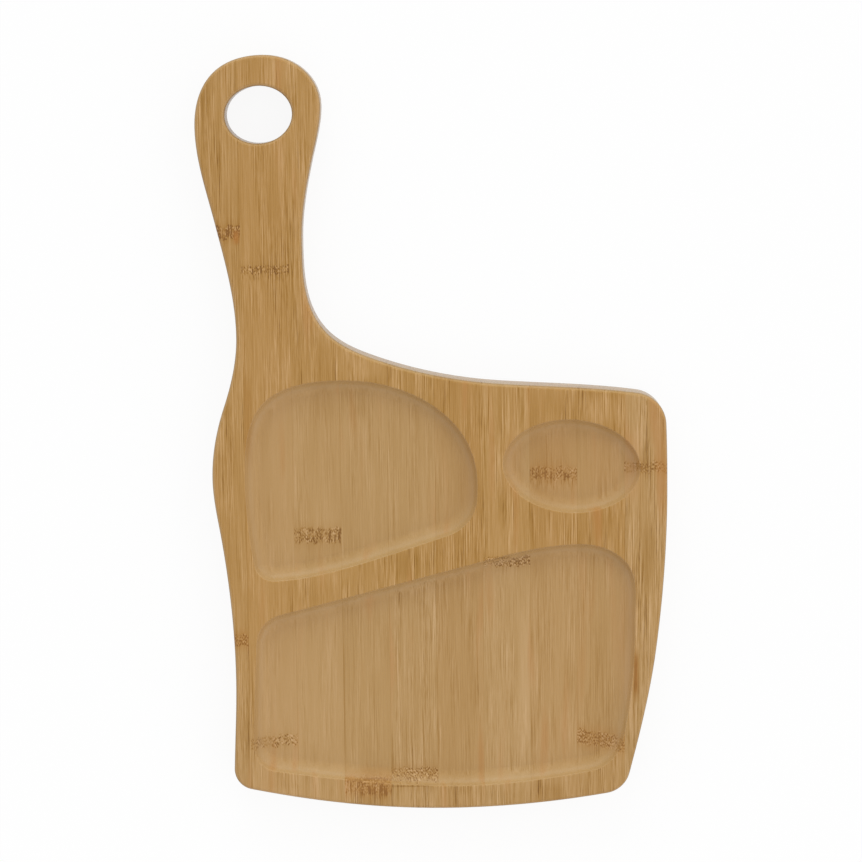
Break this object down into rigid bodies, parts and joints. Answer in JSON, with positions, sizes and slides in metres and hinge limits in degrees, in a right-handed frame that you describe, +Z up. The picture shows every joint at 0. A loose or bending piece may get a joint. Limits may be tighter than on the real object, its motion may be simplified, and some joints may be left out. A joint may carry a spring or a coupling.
{
  "type": "snack tray",
  "caption": "Paddle-shaped bamboo serving board with a hanging hole in its handle and routed pockets for snacks and dips, glued up from parallel strips in a face ply and a back ply.",
  "frame": {"origin": "on the resting face, under the middle of the board's bounding box", "axes": "+Z up out of the pockets, +Y along the strips towards the handle, +X to the right of the handle as seen from above"},
  "size_m": [0.196, 0.321, 0.015],
  "materials": {
    "bamboo_face": "sanded and oiled satin",
    "bamboo_back": "sanded and oiled satin"
  },
  "bodies": {
    "root": {"face_strip_01": "bamboo_face", "face_strip_02": "bamboo_face", "face_strip_02_head": "bamboo_face", "face_strip_03": "bamboo_face", "face_strip_04": "bamboo_face", "face_strip_05": "bamboo_face", "face_strip_06": "bamboo_face", "face_strip_07": "bamboo_face", "face_strip_08": "bamboo_face", "face_strip_09": "bamboo_face", "face_strip_10": "bamboo_face", "back_strip_01": "bamboo_back", "back_strip_01_head": "bamboo_back", "back_strip_02": "bamboo_back", "back_strip_03": "bamboo_back", "back_strip_04": "bamboo_back", "back_strip_04_head": "bamboo_back", "back_strip_05": "bamboo_back", "back_strip_06": "bamboo_back", "back_strip_07": "bamboo_back", "back_strip_08": "bamboo_back", "back_strip_09": "bamboo_back", "back_strip_10": "bamboo_back", "back_strip_11": "bamboo_back"}
  },
  "joints": []
}
